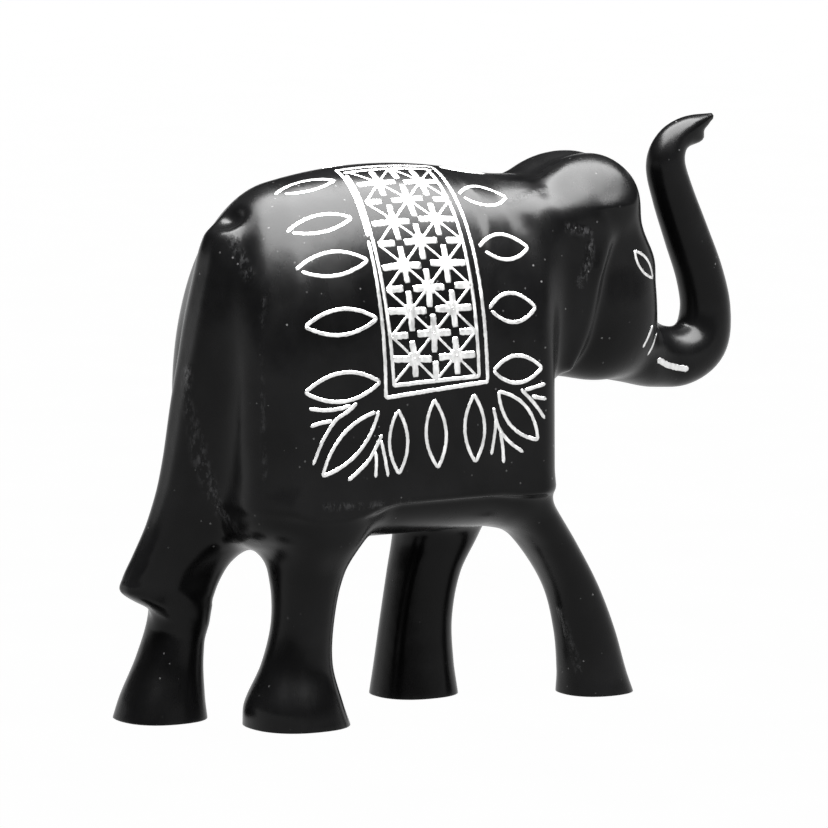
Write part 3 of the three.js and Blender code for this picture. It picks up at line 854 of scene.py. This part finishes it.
def cut_soles(piece):
    """Cuts the feet flat at the floor and closes the soles."""
    shape = bmesh.new()
    shape.from_mesh(piece.data)
    cut = bmesh.ops.bisect_plane(
        shape,
        geom=shape.verts[:] + shape.edges[:] + shape.faces[:],
        plane_co=(0, 0, 0),
        plane_no=(0, 0, -1),
        clear_outer=True,
    )
    rim = [item for item in cut["geom_cut"] if isinstance(item, bmesh.types.BMEdge)]
    soles = bmesh.ops.triangle_fill(shape, edges=rim, use_beauty=True)
    for face in (item for item in soles["geom"] if isinstance(item, bmesh.types.BMFace)):
        face.smooth = False
        if face.normal.z > 0:
            face.normal_flip()
    shape.to_mesh(piece.data)
    shape.free()


# Materials

def shader(name, base, metallic, roughness):
    material = bpy.data.materials.new(name)
    material.use_nodes = True
    tree = material.node_tree
    surface = tree.nodes["Principled BSDF"]
    surface.inputs["Base Color"].default_value = (*base, 1)
    surface.inputs["Metallic"].default_value = metallic
    surface.inputs["Roughness"].default_value = roughness
    return material, tree, surface


def noise(tree, scale, detail=4.0, roughness=0.55, stretch=(1, 1, 1)):
    """Noise in the object's own metres, stretched along its axes."""
    place = tree.nodes.new("ShaderNodeTexCoord")
    squeeze = tree.nodes.new("ShaderNodeMapping")
    squeeze.inputs["Scale"].default_value = stretch
    texture = tree.nodes.new("ShaderNodeTexNoise")
    texture.inputs["Scale"].default_value = scale
    texture.inputs["Detail"].default_value = detail
    texture.inputs["Roughness"].default_value = roughness
    tree.links.new(place.outputs["Object"], squeeze.inputs["Vector"])
    tree.links.new(squeeze.outputs["Vector"], texture.inputs["Vector"])
    return texture.outputs["Fac"]


def ramp(tree, value, low, high, start, end):
    """Maps a value from low..high to start..end."""
    scale = tree.nodes.new("ShaderNodeMapRange")
    for name, number in (("From Min", low), ("From Max", high), ("To Min", start), ("To Max", end)):
        scale.inputs[name].default_value = number
    tree.links.new(value, scale.inputs["Value"])
    return scale.outputs["Result"]


def mixed_colour(tree, factor, first, second):
    """Goes from the first colour, which may be the output of a node, to the second."""
    mix = tree.nodes.new("ShaderNodeMix")
    mix.data_type = "RGBA"
    if isinstance(first, tuple):
        mix.inputs["A"].default_value = (*first, 1)
    else:
        tree.links.new(first, mix.inputs["A"])
    mix.inputs["B"].default_value = (*second, 1)
    tree.links.new(factor, mix.inputs["Factor"])
    return mix.outputs["Result"]


def combined(tree, way, first, second):
    """Two values brought together by a Math node's way of working."""
    node = tree.nodes.new("ShaderNodeMath")
    node.operation = way
    tree.links.new(first, node.inputs[0])
    tree.links.new(second, node.inputs[1])
    return node.outputs["Value"]


def specks(tree, scale, size):
    """Small round specks, one in each cell of a scattered pattern."""
    place = tree.nodes.new("ShaderNodeTexCoord")
    cells = tree.nodes.new("ShaderNodeTexVoronoi")
    cells.inputs["Scale"].default_value = scale
    tree.links.new(place.outputs["Object"], cells.inputs["Vector"])
    return ramp(tree, cells.outputs["Distance"], 0.5 * size, size, 1, 0)


def bump(tree, surface, layers):
    """Stacks height layers, each a value with its strength and its depth in metres."""
    normal = None
    for height, strength, depth in layers:
        node = tree.nodes.new("ShaderNodeBump")
        node.inputs["Strength"].default_value = strength
        node.inputs["Distance"].default_value = depth
        tree.links.new(height, node.inputs["Height"])
        if normal is not None:
            tree.links.new(normal, node.inputs["Normal"])
        normal = node.outputs["Normal"]
    tree.links.new(normal, surface.inputs["Normal"])


# The first grey on the next line is partly real wear and partly painted highlight on lit edges and facets;
# the second is dust.
PATINA_DARK, PATINA_LIGHT = (0.0008, 0.0008, 0.00085), (0.0022, 0.0022, 0.0023)
WORN_AND_HIGHLIGHT_GREY, DUST_GREY = (0.035, 0.035, 0.036), (0.06, 0.06, 0.06)
SILVER_DULL, SILVER_BRIGHT = (0.62, 0.62, 0.615), (0.88, 0.88, 0.875)

# Refractive index set lower than a real lacquer's or oil's, to keep the black deep
PATINA_INDEX = 1.23
PATINA_ROUGHNESS = (0.21, 0.32)
WEAR_AND_HIGHLIGHT_ROUGHNESS = 0.5
SILVER_ROUGHNESS = (0.3, 0.45)
CHIP_EDGE = (0.48, 0.62)
SPECK_SCALE, SPECK_SIZE = 460, 0.11


def blackened_alloy():
    """Black patina, oiled to a satin gloss, with filing marks, small pits and dust."""
    material, tree, surface = shader("blackened_alloy", (0.0015, 0.0015, 0.0016), 0.0, 0.3)
    cloud = noise(tree, 90, 5)
    patina = mixed_colour(tree, ramp(tree, cloud, 0.35, 0.7, 0, 1), PATINA_DARK, PATINA_LIGHT)
    # Grey along the listed lines: partly real wear and partly painted highlight on lit edges and facets;
    # these places are also rougher and bumped.
    wear_and_highlight = tree.nodes.new("ShaderNodeAttribute")
    wear_and_highlight.attribute_name = "wear_and_highlight"
    chips = noise(tree, 1100, 4, 0.7, (1, 1, 0.5))
    worn_and_lit = combined(tree, "MULTIPLY", wear_and_highlight.outputs["Fac"], ramp(tree, chips, *CHIP_EDGE, 0, 1))
    patches = ramp(tree, noise(tree, 70, 2), *CHIP_EDGE, 0, 1)
    dust = combined(tree, "MULTIPLY", specks(tree, SPECK_SCALE, SPECK_SIZE), patches)
    patina_with_wear_and_highlight = mixed_colour(tree, worn_and_lit, patina, WORN_AND_HIGHLIGHT_GREY)
    tree.links.new(mixed_colour(tree, dust, patina_with_wear_and_highlight, DUST_GREY), surface.inputs["Base Color"])
    smear = noise(tree, 160, 6, 0.6, (1, 1, 0.35))
    gloss = ramp(tree, smear, 0.3, 0.75, *PATINA_ROUGHNESS)
    matt = ramp(tree, worn_and_lit, 0, 1, 0, WEAR_AND_HIGHLIGHT_ROUGHNESS)
    tree.links.new(combined(tree, "MAXIMUM", gloss, matt), surface.inputs["Roughness"])
    surface.inputs["IOR"].default_value = PATINA_INDEX
    hammer = noise(tree, 130, 2)
    filing = noise(tree, 1500, 3, 0.6, (1, 1, 0.12))
    pits = noise(tree, 2600, 2)
    wear_and_highlight_relief = combined(tree, "MULTIPLY", wear_and_highlight.outputs["Fac"], chips)
    layers = [(hammer, 0.25, 0.0004), (filing, 0.10, 0.00006), (pits, 0.12, 0.00004), (wear_and_highlight_relief, 0.7, 0.0005)]
    bump(tree, surface, layers)
    return material


def inlaid_silver():
    """Rubbed silver with a fine grain along the strokes of the file."""
    material, tree, surface = shader("silver_inlay", (0.85, 0.85, 0.84), 1.0, 0.35)
    grain = noise(tree, 900, 5, 0.65, (1, 1, 0.5))
    tone = mixed_colour(tree, ramp(tree, grain, 0.3, 0.7, 0, 1), SILVER_DULL, SILVER_BRIGHT)
    tree.links.new(tone, surface.inputs["Base Color"])
    tree.links.new(ramp(tree, grain, 0.3, 0.7, *SILVER_ROUGHNESS), surface.inputs["Roughness"])
    scratches = noise(tree, 4200, 3, 0.6, (1, 1, 0.2))
    bump(tree, surface, [(scratches, 0.25, 0.00004)])
    return material


def lit_pale():
    """Pale opal glass with an even light below it."""
    material, tree, surface = shader("lit_pale", (0.08, 0.08, 0.08), 0.0, 0.8)
    grain = noise(tree, 30, 3)
    glow = mixed_colour(tree, grain, (0.985, 0.985, 0.985), (1, 1, 1))
    tree.links.new(glow, surface.inputs["Emission Color"])
    surface.inputs["Emission Strength"].default_value = 1.0
    surface.inputs["Specular IOR Level"].default_value = 0.1
    return material


def casting(x, y, z):
    """The finished form, down to a little below the soles."""
    return np.maximum(elephant(x, y, z), -SOLE_ALLOWANCE - z)


black = blackened_alloy()
silver = inlaid_silver()

body_points, body_quads = net_over(casting)
standing = body_points[:, 2] >= 0
middle_x = (body_points[standing, 0].min() + body_points[standing, 0].max()) / 2
body = add_piece("elephant_casting", to_frame(body_points), body_quads, black)
add_wear_and_highlight(body, body_points)
cut_soles(body)
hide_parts("elephant")

for side, side_name in ((-1, "right"), (1, "left")):
    for group, draw, place in (
        ("cloth_border", cloth_borders, body_place(side)),
        ("star_lattice", lattice, body_place(side)),
        ("leaves", foliage, body_place(side)),
        ("face_marks", face_marks, head_place(side)),
    ):
        inlay = Inlay(place, seed=len(group) + side)
        draw(inlay)
        points = to_frame(np.concatenate(inlay.points))
        add_piece(f"{side_name}_{group}", points, inlay.faces, silver)


# Floor and backdrop, light and camera

FLOOR_RADIUS = 3.0
RIM_BEND = 0.5
RIM_STEPS = 12
FLOOR_SIDES = 96


def lit_table():
    """A round pale table, lit from below, that curves up a little at its rim."""
    turns = [step / RIM_STEPS * math.pi / 2 for step in range(RIM_STEPS + 1)]
    profile = [(FLOOR_RADIUS + RIM_BEND * math.sin(turn), RIM_BEND * (1 - math.cos(turn))) for turn in turns]
    points, faces = [], [tuple(range(FLOOR_SIDES))]
    for radius, height in profile:
        for side in range(FLOOR_SIDES):
            turn = side / FLOOR_SIDES * 2 * math.pi
            points.append((radius * math.cos(turn), radius * math.sin(turn), height))
    for ring in range(RIM_STEPS):
        for side in range(FLOOR_SIDES):
            first = ring * FLOOR_SIDES + side
            after = ring * FLOOR_SIDES + (side + 1) % FLOOR_SIDES
            faces.append((first, after, after + FLOOR_SIDES, first + FLOOR_SIDES))
    mesh = bpy.data.meshes.new("lit_table")
    mesh.from_pydata(points, [], faces)
    mesh.polygons.foreach_set("use_smooth", [True] * len(faces))
    mesh.materials.append(lit_pale())
    table = bpy.data.objects.new("lit_table", mesh)
    bpy.context.scene.collection.objects.link(table)


def soft_light(name, place, aim, size, power):
    light = bpy.data.lights.new(name, "AREA")
    light.shape = "RECTANGLE"
    light.size, light.size_y = size
    light.energy = power
    lamp = bpy.data.objects.new(name, light)
    lamp.location = place
    aimed = (Vector(aim) - Vector(place)).to_track_quat("-Z", "Y").to_matrix()
    lamp.rotation_euler = (aimed @ Matrix.Rotation(-CAMERA_TURN, 3, "Z")).to_euler()
    bpy.context.scene.collection.objects.link(lamp)
    return lamp


CAMERA_TURN = math.radians(31)
CAMERA_RISE = math.radians(7.5)
CAMERA_DISTANCE = 1.1168
CAMERA_AIM = Vector((-0.0076, -0.00315, 0.0539))
FOCAL_PIXELS = 6105
IMAGE_PIXELS = 828
SENSOR_WIDTH = 36


def add_camera():
    back = Vector((-math.sin(CAMERA_TURN) * math.cos(CAMERA_RISE),
                   -math.cos(CAMERA_TURN) * math.cos(CAMERA_RISE),
                   math.sin(CAMERA_RISE)))
    right = Vector((math.cos(CAMERA_TURN), -math.sin(CAMERA_TURN), 0))
    up = back.cross(right)
    data = bpy.data.cameras.new("camera")
    data.sensor_width = SENSOR_WIDTH
    data.lens = data.sensor_width * FOCAL_PIXELS / IMAGE_PIXELS
    data.clip_start, data.clip_end = 0.05, 50
    camera = bpy.data.objects.new("camera", data)
    turn = Matrix((right, up, back)).transposed()
    camera.matrix_world = Matrix.Translation(CAMERA_AIM + back * CAMERA_DISTANCE) @ turn.to_4x4()
    bpy.context.scene.collection.objects.link(camera)
    bpy.context.scene.camera = camera


ROOM_GLOW = 0.02
SOFTBOX_PLACE = (0.07, -0.23, 1.1)
SOFTBOX_AIM = (0.07, -0.23, 0)
SOFTBOX_SIZE = (1.75, 1.2)
SOFTBOX_POWER = 215


def add_light():
    world = bpy.data.worlds.new("studio")
    world.use_nodes = True
    background = world.node_tree.nodes["Background"]
    background.inputs["Color"].default_value = (1, 1, 1, 1)
    background.inputs["Strength"].default_value = ROOM_GLOW
    bpy.context.scene.world = world
    soft_light("overhead", SOFTBOX_PLACE, SOFTBOX_AIM, SOFTBOX_SIZE, SOFTBOX_POWER)


lit_table()
add_light()
add_camera()
bpy.context.scene.view_settings.view_transform = "Standard"
